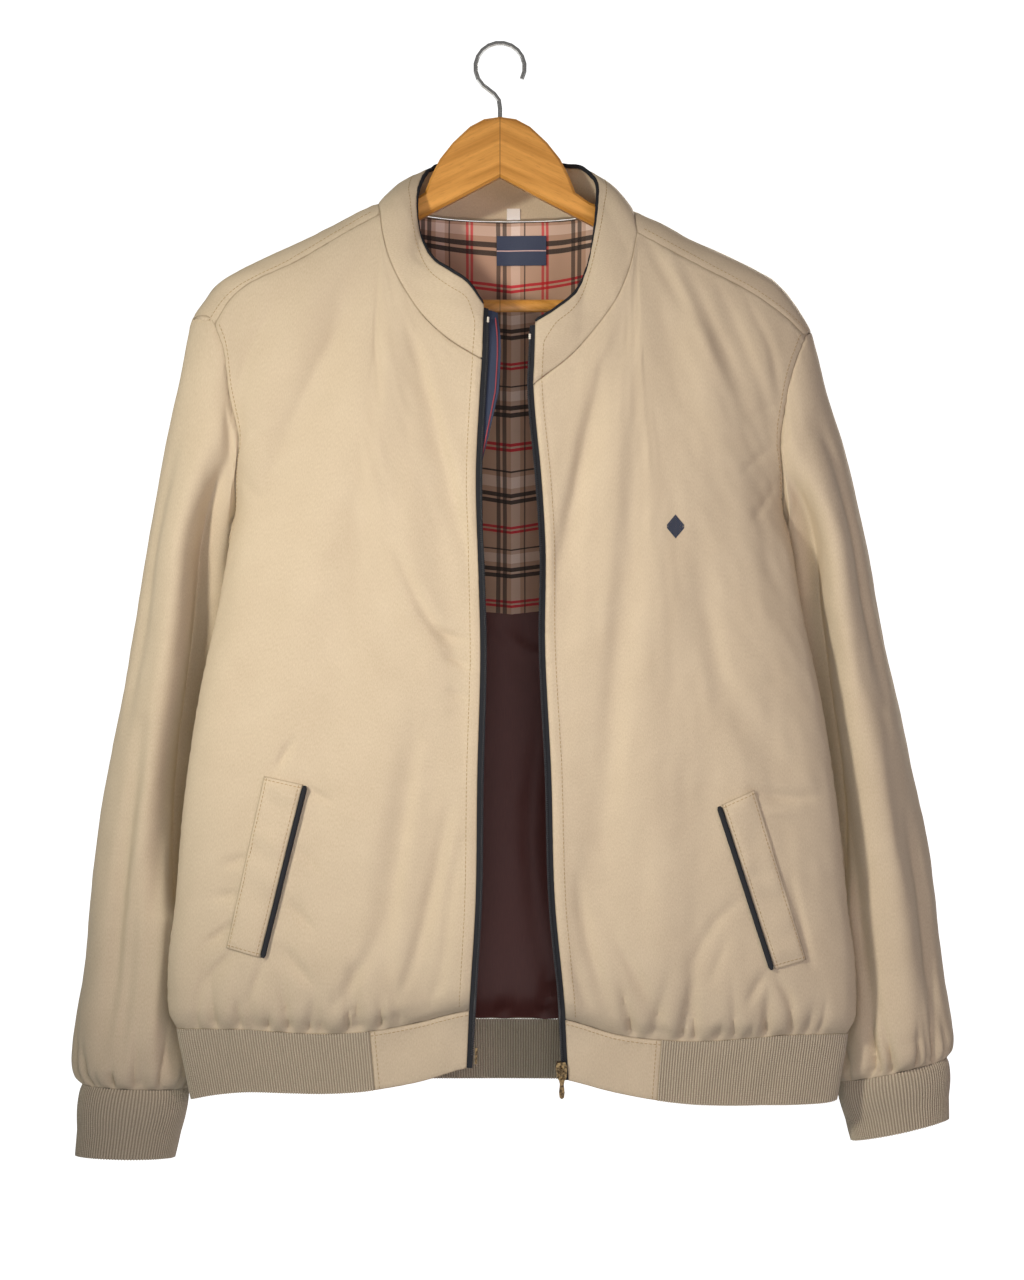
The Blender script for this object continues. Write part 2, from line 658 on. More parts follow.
def back_neck(side, share):
    """(x, z) from the centre back to the ridge's neck end."""
    stops = np.stack([side * BACK_NECK["x"], BACK_NECK["z"]], axis=1)
    return along_curve(np.vstack([stops, ridge(side, np.array([0.0]))]), share)


def back_edges(side):
    """The four edge curves of half of the back, from the centre back to its side."""

    def inner(v):
        low = seam_z(180.0)
        return pair(0.0, low + (BACK_NECK["z"][0] - low) * v)

    def bottom(u):
        girth = side * (180 - 90 * u)
        return on_body(girth, seam_z(girth))

    def top(u):
        split = NECK_SHARE["back"]
        at_ridge = ridge(side, np.clip((u - split) / (1 - split), 0, 1))
        return np.where((u <= split)[:, None], back_neck(side, np.clip(u / split, 0, 1)), at_ridge)

    return bottom, top, inner, lambda v: side_edge(side, "back", v)


NECK_COLUMNS, SHOULDER_COLUMNS, ARM_ROWS = 6, 7, 8
FLAP_ROWS = (0.35, 1.0)    # the back's part over the ridge, from the ridge to the shoulder seam
LOW_ROWS = (0.0, 0.018, 0.042, 0.085)
ROWS_UP = np.r_[
    LOW_ROWS,
    LOW_ROWS[-1] + (SIDE_SEAM_SHARE - LOW_ROWS[-1]) * np.arange(1, 8) / 7,
    SIDE_SEAM_SHARE + (1 - SIDE_SEAM_SHARE) * np.arange(1, ARM_ROWS + 1) / ARM_ROWS,
]


def columns_at(up, part):
    """The columns of a row: many at the gathers, fewer above them."""
    if up <= LOW_ROWS[2]:
        return np.linspace(0, 1, 31)
    if up <= LOW_ROWS[3]:
        return np.linspace(0, 1, 21)
    split = NECK_SHARE[part]
    return np.r_[
        np.linspace(0, split, NECK_COLUMNS + 1),
        split + (1 - split) * np.arange(1, SHOULDER_COLUMNS + 1) / SHOULDER_COLUMNS,
    ]


def shell_line(cloth, face, flat):
    """Adds a line of shell points at places (x, z) and returns their numbers."""
    girth, z = body_places(face, flat)
    return cloth.add(shell_point(girth, z), shell_normal(girth, z))


def make_front(side, material):
    cloth, edges, last = Cloth(), front_edges(side), None
    for up in ROWS_UP:
        shares = columns_at(up, "front")
        ids = shell_line(cloth, -1, patch(*edges, shares, up))
        if last:
            cloth.join(*last, ids, shares)
        last = (ids, shares)
    name = "front_right" if side < 0 else "front_left"
    return cloth_wall(name, cloth, SHELL, material), cloth


def back_row(up, shares):
    """(x, z) across the whole back, and the shares across."""
    left = patch(*back_edges(-1), shares, up)
    right = patch(*back_edges(1), shares, up)
    return np.vstack([left[::-1], right[1:]]), np.r_[0.5 - shares[::-1] / 2, 0.5 + shares[1:] / 2]


def flap_line(side, share):
    """(x, z) along a line over the shoulder, share of the way from the ridge to the shoulder seam."""
    along = np.arange(SHOULDER_COLUMNS + 1) / SHOULDER_COLUMNS
    line = ridge(side, along) * (1 - share) + shoulder_seam(side, along) * share
    line[-1] = on_body(*armhole_curve(side, "front", shoulder_share(side) * share))
    return line, along


def make_back(material):
    """The back, which passes over the shoulders' ridges to the forward shoulder seams."""
    cloth, last = Cloth(), None
    for up in ROWS_UP:
        flat, shares = back_row(up, columns_at(up, "back"))
        ids = shell_line(cloth, 1, flat)
        if last:
            cloth.join(*last, ids, shares)
        last = (ids, shares)
    for side in (-1, 1):
        ids = last[0][:SHOULDER_COLUMNS + 1][::-1] if side < 0 else last[0][-SHOULDER_COLUMNS - 1:]
        for share in FLAP_ROWS:
            line, along = flap_line(side, share)
            new = shell_line(cloth, -1, line)
            cloth.join(ids, along, new, along)
            ids = new
    return cloth_wall("back", cloth, SHELL, material)


def make_lining(name, first, last, material):
    """A lining piece inside the back, between two of its rows."""
    cloth, below = Cloth(), None
    shares = columns_at(1.0, "back")[:-1]
    for up in ROWS_UP[first:last + 1]:
        flat, across = back_row(max(up, 0.002), shares)
        girth, z = body_places(1, flat)
        ids = cloth.add(body_point(girth, z), shell_normal(girth, z))
        if below:
            cloth.join(*below, ids, across)
        below = (ids, across)
    return cloth_wall(name, cloth, LINING, material, lift=-SHELL - LAYER_GAP)


# ---------------------------------------------------------------- sleeves and cuffs
def ring_points(row, turn):
    """Points round one sleeve ring. row holds the ring's values by name."""
    outer = np.array([row["outer_x"], 0, row["outer_z"]])
    inner = np.array([row["inner_x"], 0, row["inner_z"]])
    middle, half = (outer + inner) / 2, (outer - inner) / 2
    turn = np.radians(np.asarray(turn))[..., None]
    to_body = np.array([half[2], 0, -half[0]])
    to_body = to_body / np.linalg.norm(to_body) * (-np.sign(row["outer_x"]) * np.sign(to_body[0]))
    ring = middle + half * np.cos(turn) + to_body * row["bow"] * np.sin(turn) ** 2
    ring = ring + np.array([0, 1, 0]) * (row["y"] - row["depth"] * np.sin(turn))
    return ring + [JACKET_X, 0, 0]


def table_rows(source):
    return [dict(zip(source, values)) for values in zip(*source.values())]


def armhole_ring(side, turn):
    """Points round the armhole: turn 0 at the shoulder tip, 90 at the front, 180 at the underarm."""
    turn = np.asarray(turn, float)
    front = armhole_curve(side, "front", np.clip(turn / 180, 0, 1))
    back = armhole_curve(side, "back", np.clip((360 - turn) / 180, 0, 1))
    girth, z = (np.where(turn <= 180, a, b) for a, b in zip(front, back))
    return shell_point(girth, z), shell_normal(girth, z)


def sleeve_grid(side, turn):
    """Control rings down a sleeve at the given turns, and their shares of its length."""
    rings = [armhole_ring(side, turn)[0]] + [ring_points(row, turn) for row in table_rows(SLEEVE[side])]
    middles = np.array([ring.mean(axis=0) for ring in rings])
    length = np.r_[0, np.cumsum(np.linalg.norm(np.diff(middles, axis=0), axis=1))]
    return length / length[-1], np.array(rings)


CUFF_GATHERS = {
    -1: gather_list(11, 0, 360, 26.0),
    1: gather_list(13, 0, 360, 26.0),
}
SLEEVE_LENGTH = 0.60       # from the armhole's middle to the cuff seam, for the gathers' lengths


def sleeve_point(side, turn, share):
    """Points on a sleeve, with its folds and the gathers above the cuff."""
    turn = np.asarray(turn, float)
    knots, rings = sleeve_grid(side, turn)
    place = smooth(knots, rings.transpose(0, 1, 2).reshape(len(knots), -1), np.array(share)).reshape(-1, 3)
    middle = smooth(knots, rings.mean(axis=1), np.array(share))
    outward = place - middle
    outward = outward / np.linalg.norm(outward, axis=1, keepdims=True)
    rise = np.zeros(len(turn))
    for fold in table_rows(SLEEVE_FOLDS[side]):
        along = np.clip((share - fold["start"]) / (fold["end"] - fold["start"]), 0, 1)
        away = (turn - fold["turn"] + 180) % 360 - 180
        rise += fold["depth"] * np.sin(np.pi * along) ** 0.7 * np.exp(-((away / fold["width"]) ** 2))
    rise += gather_rise(CUFF_GATHERS[side], turn, (1 - share) * SLEEVE_LENGTH)
    return place + outward * rise[:, None]


def sleeve_normal(side, turn, share):
    step = 3.0
    turn = np.asarray(turn, float)
    across = sleeve_point(side, (turn + step) % 360, share) - sleeve_point(side, (turn - step) % 360, share)
    up = sleeve_point(side, turn, max(share - 0.006, 0)) - sleeve_point(side, turn, min(share + 0.006, 1))
    normal = np.cross(across, up) * -side
    return normal / np.linalg.norm(normal, axis=-1, keepdims=True)


def armhole_turns(side):
    """The turns of the armhole's seam points, which are the front's and the back's own."""
    up, meet = np.arange(ARM_ROWS + 1) / ARM_ROWS, shoulder_share(side)
    over = meet * 180 * np.r_[0.0, FLAP_ROWS[:-1]]
    return np.r_[over, (180 * (1 - up * (1 - meet)))[::-1], (180 + 180 * up)[1:-1]]


SLEEVE_SHARES = np.r_[0.0, 0.035, 0.075, 0.12, 0.18, 0.25, 0.33, 0.42, 0.52, 0.62, 0.72, 0.81, 0.88,
                      0.925, 0.955, 0.978, 1.0]


def make_sleeve(side, material):
    cloth, last = Cloth(), None
    for share in SLEEVE_SHARES:
        turns = armhole_turns(side)
        if share > 0.85:
            turns = np.arange(0, 360, 360 / 40)
        elif share > 0.12:
            turns = np.arange(0, 360, 360 / 22)
        normal = sleeve_normal(side, turns, share)
        if share == 0:
            into = sleeve_point(side, turns, 0.02) - sleeve_point(side, turns, 0.0)
            normal = seam_normals(normal, armhole_ring(side, turns)[1], into)
        ids = cloth.add(sleeve_point(side, turns, share), normal)
        if last:
            cloth.join(*last, ids, turns / 360, closed=True)
        last = (ids, turns / 360)
    return cloth_wall("sleeve_right" if side < 0 else "sleeve_left", cloth, SHELL, material)


def rib_wave(count, rise):
    """Shares and rises across a rib knit: a ridge and a groove for each rib."""
    shares = np.arange(2 * count + 1) / (2 * count)
    return shares, rise * (np.arange(2 * count + 1) % 2)


def make_cuff(side, material):
    """A rib tube from the sleeve's end to the cuff's open edge."""
    top = table_rows(SLEEVE[side])[-1]
    edge = table_rows(CUFF_EDGE[side])[0]
    middle = {key: (top[key] + edge[key]) / 2 for key in top}
    around = np.linspace(0, 360, 181)[:-1]
    ring = ring_points(middle, around)
    girth = np.linalg.norm(np.diff(np.vstack([ring, ring[:1]]), axis=0), axis=1).sum()
    count = round(girth / RIB_PITCH)
    shares, rises = rib_wave(count, RIB_RISE)
    outer, inner = Rows(closed=True), Rows(closed=True)
    for row in (top, edge):
        for rows, places, lift in ((outer, shares[:-1], rises[:-1]), (inner, np.arange(24) / 24, None)):
            turn = places * 360
            points = ring_points(row, turn)
            out = points - ring_points(row, turn).mean(axis=0)
            out = out / np.linalg.norm(out, axis=1, keepdims=True)
            rows.add(points + (out * lift[:, None] if lift is not None else -out * RIB_WALL), places)
    for rows in (outer, inner):
        rows.points[0] = drawn_back(rows.points[0], edge_line(rows, 1, 0), SEAM_GAP)
    name = "cuff_right" if side < 0 else "cuff_left"
    return wall(name, outer, inner, material)


def edge_line(rows, line, wanted):
    """Points of one row at the shares of another."""
    return np.stack(
        [np.interp(rows.shares[wanted], rows.shares[line], rows.points[line][:, k]) for k in range(3)], axis=1
    )


# ---------------------------------------------------------------- hem
def band_point(girth, share):
    """The hem band's outer surface: share 0 at its seam and 1 at its lower edge."""
    top, low = seam_z(girth), from_table(HEM, "girth", "edge", girth)
    return body_point(girth, top + (low - top) * share)


def even_girths(start, end, count):
    """Girths evenly spaced along the hem's real length, which is wrapped past 180 degrees."""
    fine = np.linspace(start, end, 1441)
    wrapped = (fine + 180) % 360 - 180
    points = band_point(wrapped, 0.5)
    length = np.r_[0, np.cumsum(np.linalg.norm(np.diff(points, axis=0), axis=1))]
    return np.interp(np.linspace(0, length[-1], count), length, fine), length[-1]


def make_hem_rib(material):
    """The rib from one plain band round the back to the other, as one piece."""
    start = float(girth_of(BAND_END_X[1], -0.86))
    end = float(girth_of(BAND_END_X[-1], -0.86)) + 360
    _, length = even_girths(start, end, 2)
    count = round(length / RIB_PITCH)
    _, rises = rib_wave(count, RIB_RISE)
    places, _ = even_girths(start, end, 2 * count + 1)
    plain = np.interp(np.linspace(0, 1, 112), 0.6 * np.linspace(0, 1, 2 * count + 1)
                      + 0.4 * (places - start) / (end - start), places)
    outer, inner = Rows(), Rows()
    for share in (0.0, 1.0):
        for rows, girths, lift in ((outer, places, rises), (inner, plain, -RIB_WALL)):
            wrapped = (girths + 180) % 360 - 180
            normal = band_normal(wrapped)
            points = band_point(wrapped, share) + normal * np.reshape(lift, (-1, 1))
            rows.add(points, (girths - start) / (end - start))
    for rows in (outer, inner):
        trim(rows, ends=(True, False))
    return wall("hem_rib", outer, inner, material)


def band_normal(girth):
    """Outward normals of the hem band, level and the same from its seam to its edge."""
    near = [band_point((girth + step + 180) % 360 - 180, 0.5) for step in (1.0, -1.0)]
    across = near[0] - near[1]
    normal = np.cross(across, [0, 0, 1.0])
    return normal / np.linalg.norm(normal, axis=-1, keepdims=True)


def make_hem_band(side, material):
    """The plain cloth piece between the rib and the zip."""
    cloth, last = Cloth(), None
    end = float(girth_of(BAND_END_X[side], -0.86))
    for share in (0.0, 0.5, 1.0):
        z = -0.82 - 0.05 * share
        girths = np.linspace(float(girth_of(zip_x(side, z), z)), end, 7)
        ids = cloth.add(band_point(girths, share), band_normal(girths))
        if last:
            cloth.join(last, girths / end, ids, girths / end)
        last = ids
    cloth_wall("hem_band_right" if side < 0 else "hem_band_left", cloth, RIB_WALL, material)
    return cloth


# ---------------------------------------------------------------- collar
def neck_points():
    """The collar's seam points, the panels' own: from the -X front end round the back to the +X end."""
    columns = np.arange(NECK_COLUMNS + 1) / NECK_COLUMNS
    points, normals, shares = [], [], []

    def add(face, flat, start, end):
        girth, z = body_places(face, flat)
        points.append(shell_point(girth, z))
        normals.append(shell_normal(girth, z))
        shares.append(np.linspace(start, end, len(flat)))

    def half(side, start, end, middle):
        over = np.array([flap_line(side, share)[0][0] for share in FLAP_ROWS[::-1]])
        add(-1, seam_on_front(NECK_SEAM[side], columns)[:-1], start, end - 0.01 * np.sign(end - start) * 2)
        add(-1, over, end, end + 0.02 * np.sign(middle - end))
        add(1, back_neck(side, columns)[::-1], end + 0.04 * np.sign(middle - end), middle)

    half(-1, 0.0, COLLAR_SHOULDER_SHARE[-1], 0.5)
    first = len(points)
    half(1, 1.0, COLLAR_SHOULDER_SHARE[1], 0.5)
    left = [np.concatenate(part[:first]) for part in (points, normals, shares)]
    right = [np.concatenate(part[first:])[::-1][1:] for part in (points, normals, shares)]
    return tuple(np.concatenate(both) for both in zip(left, right))


def collar_top(share):
    place = smooth(COLLAR_TOP["share"], np.stack([COLLAR_TOP[k] for k in "xyz"], axis=1), share)
    return place + [JACKET_X, 0, 0]


def make_collar(material):
    """The stand collar, from the neck seam to its piped edge, a little rounded between."""
    seam, seam_normal, shares = neck_points()
    top = collar_top(shares)
    stand = np.cross(top - seam, np.gradient(seam + top, axis=0))
    stand /= np.linalg.norm(stand, axis=1, keepdims=True)
    cloth, lines = Cloth(), []
    for up in (0.0, 0.33, 0.67, 1.0):
        normal = stand if up else seam_normals(stand, seam_normal, top - seam)
        points = seam + (top - seam) * up + stand * 0.0035 * math.sin(math.pi * up)
        ids = cloth.add(points, normal)
        if lines:
            cloth.join(lines[-1], shares, ids, shares)
        lines.append(ids)
    return cloth_wall("collar", cloth, COLLAR_WALL, material), cloth, lines


def make_collar_piping(cloth, lines, navy):
    points, normals = np.array(cloth.points), np.array(cloth.normals)
    top, out = points[lines[-1]], normals[lines[-1]]
    lift = np.cross(np.gradient(top, axis=0), out)
    lift *= np.sign(np.sum(lift * (top - points[lines[-2]]), axis=1, keepdims=True))
    lift /= np.linalg.norm(lift, axis=1, keepdims=True)
    tube("collar_piping", top - out * COLLAR_WALL / 2 + lift * (PIPING_RADIUS + SEAM_GAP), PIPING_RADIUS, navy, lift)


def tube(name, points, radius, material, up, sides=6):
    """A cord through points. up is a direction, or one for each point, that is never along the cord."""
    points = np.asarray(points, float)
    along = np.gradient(points, axis=0)
    across = np.cross(along, up)
    across /= np.linalg.norm(across, axis=1, keepdims=True)
    rise = np.cross(across, along)
    rise /= np.linalg.norm(rise, axis=1, keepdims=True)
    rings = [
        points + radius * (across * math.cos(turn) + rise * math.sin(turn))
        for turn in 2 * math.pi * (np.arange(sides) + 0.5) / sides
    ]
    places = np.array(rings).transpose(1, 0, 2).reshape(-1, 3)
    faces = [tuple(range(sides)), tuple(range(len(places) - sides, len(places)))]
    for k in range(len(points) - 1):
        for j in range(sides):
            a, b = k * sides + j, k * sides + (j + 1) % sides
            faces.append((a, b, b + sides, a + sides))
    return mesh_object(name, places, faces, material)


def slab(name, outline, thickness, chamfer, material, origin=(0, 0, 0), wide=(1, 0, 0), high=(0, 0, 1)):
    """A flat plate with chamfered edges. outline is a list of (across, up), turning one way."""
    outline = np.asarray(outline, float)
    edge = np.roll(outline, -1, axis=0) - np.roll(outline, 1, axis=0)
    out = np.stack([edge[:, 1], -edge[:, 0]], axis=1) / np.linalg.norm(edge, axis=1, keepdims=True)
    if np.sum(outline[:, 0] * np.roll(outline[:, 1], -1) - outline[:, 1] * np.roll(outline[:, 0], -1)) < 0:
        out = -out
    wide, high = np.asarray(wide, float), np.asarray(high, float)
    deep = np.cross(wide, high)
    half, count = thickness / 2, len(outline)
    places = []
    for inset, level in ((chamfer, -half), (0, -half + chamfer), (0, half - chamfer), (chamfer, half)):
        flat = outline - out * inset
        places.append(np.asarray(origin) + flat[:, :1] * wide + flat[:, 1:] * high + deep * level)
    faces = [tuple(range(count)), tuple(range(3 * count, 4 * count))]
    for k in range(3):
        for j in range(count):
            a, b = k * count + j, k * count + (j + 1) % count
            faces.append((a, b, b + count, a + count))
    return mesh_object(name, np.vstack(places), faces, material)


# ---------------------------------------------------------------- pieces that lie on others
def tree_of(obj):
    mesh = obj.data
    return BVHTree.FromPolygons([v.co.copy() for v in mesh.vertices], [tuple(p.vertices) for p in mesh.polygons])


def cast(tree, x, z, start, heading):
    """Where a level ray along y from start meets a piece at (x, z), and the piece's normal there."""
    place, normal, _, _ = tree.ray_cast(Vector((x, start, z)), Vector((0, heading, 0)))
    return np.array(place), np.array(normal)


def laid_patch(name, tree, corners, across, up, lift, thickness, material, start=-1.0, heading=1.0):
    """A thin patch laid on a piece. corners are (x, z): bottom inner, bottom outer, top outer, top inner."""
    corners = np.asarray(corners, float)
    top, under = Rows(), Rows()
    for v in np.linspace(0, 1, up + 1):
        line, normals = [], []
        for u in np.linspace(0, 1, across + 1):
            low, high = corners[0] * (1 - u) + corners[1] * u, corners[3] * (1 - u) + corners[2] * u
            place, normal = cast(tree, *(low * (1 - v) + high * v), start, heading)
            line.append(place)
            normals.append(normal * (-np.sign(normal[1]) * heading))
        normals = np.array(normals)
        if len(top.points) >= 0:
            normals = normals.mean(axis=0) + 0 * normals
            normals /= np.linalg.norm(normals, axis=1, keepdims=True)
        shares = np.linspace(0, 1, across + 1)
        under.add(np.array(line) + normals * lift, shares)
        top.add(np.array(line) + normals * (lift + thickness), shares)
    return wall(name, top, under, material), top


# Pocket welts in front view, from photo-right and left jacket x: bottom inner, bottom outer, top outer,
# top inner corner. Inner is the piped edge, towards the zip.
WELT = {
    -1: ((-0.2040, -0.7700), (-0.2355, -0.7630), (-0.2040, -0.6195), (-0.1718, -0.6262)),
    1: ((0.2160, -0.7800), (0.2440, -0.7730), (0.2010, -0.6310), (0.1735, -0.6430)),
}
WELT_LIFT = 0.0008
PIPE_RADIUS = 0.0019


def make_pocket(side, tree, cloth, navy):
    suffix = "right" if side < 0 else "left"
    corners = np.asarray(WELT[side]) + [JACKET_X, 0]
    laid_patch(f"pocket_welt_{suffix}", tree, corners, 3, 9, WELT_LIFT, SHELL, cloth)
    low, high = corners[0], corners[3]
    run = (high - low) / np.linalg.norm(high - low)
    aside = np.array([-run[1], run[0]])
    aside *= -side * np.sign(aside[0]) * (PIPE_RADIUS + 2 * SEAM_GAP)
    points, normals = [], []
    for v in np.linspace(0.006, 0.994, 14):
        place, normal = cast(tree, *(low + (high - low) * v + aside), -1.0, 1.0)
        normals.append(normal)
        points.append(place)
    normals = np.array(normals)
    normals = normals.mean(axis=0) / np.linalg.norm(normals.mean(axis=0))
    points = np.array(points) + normals * (PIPE_RADIUS + WELT_LIFT)
    tube(f"pocket_piping_{suffix}", points, PIPE_RADIUS, navy, normals)


# ---------------------------------------------------------------- zip
def front_edge_line(side, collar, collar_lines, front, band):
    """Points and normals up a front's edge: hem band, front, collar end."""
    end = 0 if side < 0 else -1
    rows, k = [], 0
    for up in ROWS_UP:
        rows.append(k)
        k += len(columns_at(up, "front"))
    band_lines = [0, 7, 14]
    line = [(band, i) for i in band_lines[::-1]] + [(front, i) for i in rows[1:-1]]
    line += [(collar, ids[end]) for ids in collar_lines]
    return np.array([c.points[i] for c, i in line]), np.array([c.normals[i] for c, i in line])


def make_tape(side, line, navy):
    points, normals = line
    along = np.gradient(points, axis=0)
    aside = np.cross(along, normals)
    aside /= np.linalg.norm(aside, axis=1, keepdims=True)
    aside *= (-side * np.sign(aside[:, 0]))[:, None]
    outer, inner = Rows(), Rows()
    length = np.r_[0, np.cumsum(np.linalg.norm(np.diff(points, axis=0), axis=1))]
    for reach in (SEAM_GAP * 1.2, SEAM_GAP * 1.2 + ZIP_WIDTH):
        outer.add(points + aside * reach, length / length[-1])
        inner.add(points + aside * reach - normals * ZIP_WALL, length / length[-1])
    suffix = "right" if side < 0 else "left"
    wall(f"zip_tape_{suffix}", outer, inner, navy)
    return outer.points[1], normals, aside


SLIDER = dict(width=0.0085, height=0.0150, plate=0.0012, bridge=0.0030, clear=0.0005, z=-0.8665)
BAIL = dict(height=0.0072, stand=0.0030, thick=0.0010, width=0.0018)
PULL = dict(width=0.0048, length=0.0215, thick=0.0010)


def tape_frame(free_edge, z):
    """Place and axes at a height on a tape's free edge: into the tape, into the jacket, and up it."""
    edge, normals, aside = free_edge
    order = np.argsort(edge[:, 2])
    at, normal = (
        np.array([np.interp(z, edge[order, 2], part[order, k]) for k in range(3)]) for part in (edge, normals)
    )
    near = np.array([[np.interp(z + d, edge[order, 2], edge[order, k]) for k in range(3)] for d in (-0.006, 0.006)])
    up = (near[1] - near[0]) / np.linalg.norm(near[1] - near[0])
    across = np.cross(up, -normal)
    across /= np.linalg.norm(across)
    return at, across, np.cross(up, across) * np.sign(np.cross(up, across)[1]), up


def make_slider(free_edge, metal):
    """Two plates round the left tape's free edge, joined by a bridge, with a bail for the pull."""
    at, across, deep, up = tape_frame(free_edge, SLIDER["z"])
    if across[0] < 0:
        across = -across
    clear, plate, half = SLIDER["clear"], SLIDER["plate"], SLIDER["height"] / 2
    front, back, near = -clear, ZIP_WALL + clear, -clear - SLIDER["bridge"]
    points, faces = [], [tuple(range(8)), tuple(range(24, 32))]
    for rise, nip in ((-half, 0.0012), (-half * 0.55, 0.0), (half * 0.5, -0.0006), (half, 0.0008)):
        far = near + SLIDER["width"] - nip
        ring = (
            (near + nip, front - plate), (far, front - plate), (far, front), (-clear, front),
            (-clear, back), (far, back), (far, back + plate), (near + nip, back + plate),
        )
        points += [at + across * x + deep * y + up * rise for x, y in ring]
    for k in range(3):
        for j in range(8):
            a, b = k * 8 + j, k * 8 + (j + 1) % 8
            faces.append((a, b, b + 8, a + 8))
    slider = mesh_object("zip_slider", points, faces, metal)
    middle = near + SLIDER["width"] / 2
    foot, half, stand, thick = front - plate / 2 + 0.0001, BAIL["height"] / 2, BAIL["stand"], BAIL["thick"]
    crown = front - plate - stand
    outline = [
        (foot, -half), (crown + 0.0012, -half), (crown, -half + thick), (crown, half - thick),
        (crown + 0.0012, half), (foot, half), (foot, half - thick), (crown + 0.0016, half - thick - 0.0002),
        (crown + thick, half - thick - 0.0008), (crown + thick, -half + thick + 0.0008),
        (crown + 0.0016, -half + thick + 0.0002), (foot, -half + thick),
    ]
    bail = slab(
        "slider_bail", outline, BAIL["width"], 0.0002, metal, origin=at + across * middle, wide=deep, high=up
    )
    bail.hide_render = True
    joined = slider.modifiers.new("bail", "BOOLEAN")
    joined.operation, joined.solver, joined.object = "UNION", "EXACT", bail
    return at + across * middle + deep * (front - plate - 0.0010) - up * 0.0012


def make_pull(pivot, metal):
    """A tab that hangs from a bar through the bail. pivot is that bar's middle."""
    half, low = PULL["width"] / 2, -PULL["length"]
    side = [
        (half - 0.0006, 0.0006), (half, 0.0), (half, -0.0060), (half * 0.72, -0.0095),
        (half, low * 0.75), (half * 0.8, low + 0.0012), (half * 0.3, low),
    ]
    outline = [(0, 0.0006)] + side + [(-x, z) for x, z in side[::-1]]
    eye = [(0.0012, -0.0006), (0.00145, -0.0009), (0.00145, -0.0048), (0.0008, -0.0054)]
    inside = [(0, -0.0006)] + eye + [(-x, z) for x, z in eye[::-1]]
    middle = (-0.0006 - 0.0054) / 2

    def shares(loop):
        turn = [math.atan2(x, z - middle) for x, z in loop]
        return np.array(turn) % (2 * math.pi) / (2 * math.pi)

    front, back = Rows(closed=True), Rows(closed=True)
    for loop in (outline, inside):
        for rows, level in ((front, -PULL["thick"] / 2), (back, PULL["thick"] / 2)):
            rows.add([pivot + [x, level, z] for x, z in loop], shares(loop))
    print("pull hinge at", np.round(pivot, 5))
    return wall("zip_pull", front, back, metal)


def make_pin(free_edge, metal):
    """The pin at the foot of the right tape, beside its free edge."""
    edge, normals, aside = free_edge
    order = np.argsort(edge[:, 2])
    z = np.linspace(-0.8605, -0.8470, 3)
    places = np.stack([np.interp(z, edge[order, 2], edge[order, k]) for k in range(3)], axis=1)
    tube("zip_pin", places + [0.0011 + SEAM_GAP, 0.0008, 0], 0.0011, metal, (0, 1, 0))


GUARD_LOW_Z = -0.375


def make_zip_guard(free_edge, navy):
    """The strip behind the right zip's top, just clear of the tape's back."""
    edge, normals, aside = free_edge
    span = (edge[:, 2] > GUARD_LOW_Z) & (edge[:, 2] < COLLAR_TOP["z"][0] - 0.001)
    edge, normals, aside = edge[span], normals[span], aside[span]
    shares = np.linspace(0, 1, len(edge))
    outer, inner = Rows(), Rows()
    for reach in (-ZIP_WIDTH + SEAM_GAP, 0.005, 0.0155):
        line = edge + aside * reach - normals * (ZIP_WALL + SEAM_GAP)
        outer.add(line, shares)
        inner.add(line - normals * LINING, shares)
    wall("zip_guard", outer, inner, navy)


# ---------------------------------------------------------------- hanger
def arc(centre, radius, start, end, count):
    turns = np.radians(np.linspace(start, end, count))
    return [(centre[0] + radius * math.cos(t), centre[1] + radius * math.sin(t)) for t in turns]


def make_hanger(wood, steel):
    half = [
        (0.0, -0.0617), (0.0135, -0.0636), (0.0256, -0.0700), (0.0400, -0.0835), (0.0512, -0.0976),
        (0.0590, -0.1130), (0.0640, -0.1260), (0.0760, -0.1345), (0.1000, -0.1445), (0.1500, -0.1670),
        (0.2000, -0.1915), (0.2200, -0.2030), (0.2275, -0.2110), (0.2285, -0.2210), (0.2230, -0.2310),
        (0.2120, -0.2350), (0.2038, -0.2330), (0.2026, -0.2150), (0.1960, -0.2075), (0.1400, -0.1830),
        (0.0900, -0.1600), (0.0598, -0.1445), (0.0300, -0.1290),
    ]
    outline = half + [(0.0, -0.1129)] + [(-x, z) for x, z in half[:0:-1]]
    slab("hanger_wood", outline, WOOD_THICK, 0.0022, wood)
    ends = np.linspace(-BAR_LENGTH / 2, BAR_LENGTH / 2, 3)
    tube("hanger_bar", [(x, 0, -0.2222) for x in ends], BAR_RADIUS, wood, (0, 0, 1), sides=16)
    inner = HOOK_RADIUS - WIRE_RADIUS
    stem = np.array([(0, -0.0613 + 0.0), (0, -0.054), (-0.0010, -0.0470), (-0.0050, -0.0415), (-0.0105, -0.0372)])
    ring = arc((0, -inner), HOOK_RADIUS, 226, -28, 15)
    path = [(x, 0, z) for x, z in list(map(tuple, stem)) + ring]
    tube("hanger_hook", path, WIRE_RADIUS, steel, (0, 1, 0), sides=8)


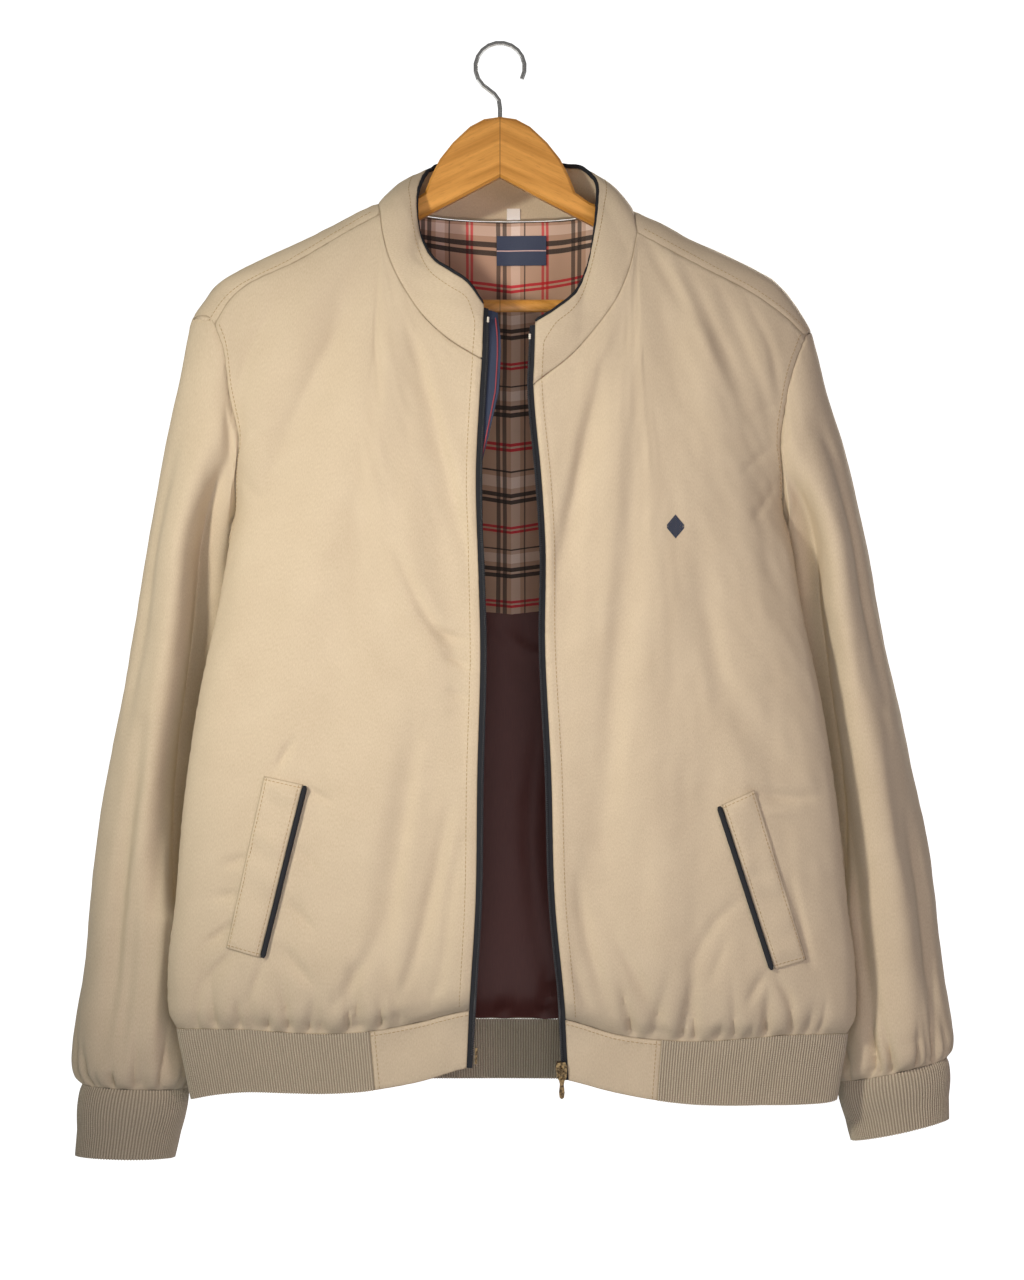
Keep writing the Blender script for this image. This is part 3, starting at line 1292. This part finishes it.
def main():
    for obj in list(bpy.data.objects):
        bpy.data.objects.remove(obj)
    cloth = new_material("sand_twill", (0.68, 0.55, 0.38), 0.75)
    rib = new_material("taupe_rib_knit", (0.28, 0.24, 0.18), 0.9)
    check = new_material("check_lining", (0.42, 0.30, 0.24), 0.8)
    brown = new_material("brown_lining", (0.035, 0.012, 0.010), 0.6)
    navy = new_material("navy_tape", (0.018, 0.024, 0.036), 0.7)
    label = new_material("navy_label", (0.012, 0.024, 0.065), 0.7)
    white = new_material("white_tag", (0.75, 0.75, 0.73), 0.7)
    wood = new_material("beech_wood", (0.47, 0.20, 0.035), 0.4)
    steel = new_material("hook_steel", (0.6, 0.6, 0.6), 0.3, 1.0)
    brass = new_material("aged_brass", (0.22, 0.15, 0.08), 0.35, 1.0)

    back = make_back(cloth)
    join_row = int(np.argmin([abs(back_row(up, np.array([0.0, 0.1]))[0][1, 1] - LINING_JOIN_Z) for up in ROWS_UP]))
    yoke = make_lining("lining_yoke", join_row, len(ROWS_UP) - 1, check)
    make_lining("lining_lower", 0, join_row, brown)
    make_hem_rib(rib)
    collar, collar_cloth, collar_lines = make_collar(cloth)
    make_collar_piping(collar_cloth, collar_lines, navy)
    for side in (-1, 1):
        front, front_cloth = make_front(side, cloth)
        make_sleeve(side, cloth)
        make_cuff(side, rib)
        band = make_hem_band(side, cloth)
        make_pocket(side, tree_of(front), cloth, navy)
        line = front_edge_line(side, collar_cloth, collar_lines, front_cloth, band)
        free_edge = make_tape(side, line, navy)
        if side < 0:
            make_pin(free_edge, brass)
            make_zip_guard(free_edge, navy)
        else:
            make_pull(make_slider(free_edge, brass), brass)
    laid_patch("label", tree_of(yoke), [(-0.0029, -0.1825), (0.0398, -0.1825), (0.0398, -0.1573), (-0.0029, -0.1573)],
               4, 2, LAYER_GAP, 0.0010, label, start=0.0, heading=1.0)
    laid_patch("size_tag", tree_of(collar), [(0.0058, -0.1440), (0.0172, -0.1440), (0.0172, -0.1335), (0.0058, -0.1335)],
               2, 2, LAYER_GAP, 0.0008, white, start=0.0, heading=1.0)
    make_hanger(wood, steel)


JACKET = bpy.data.collections.new("bomber_jacket_on_hanger")
bpy.context.scene.collection.children.link(JACKET)
main()
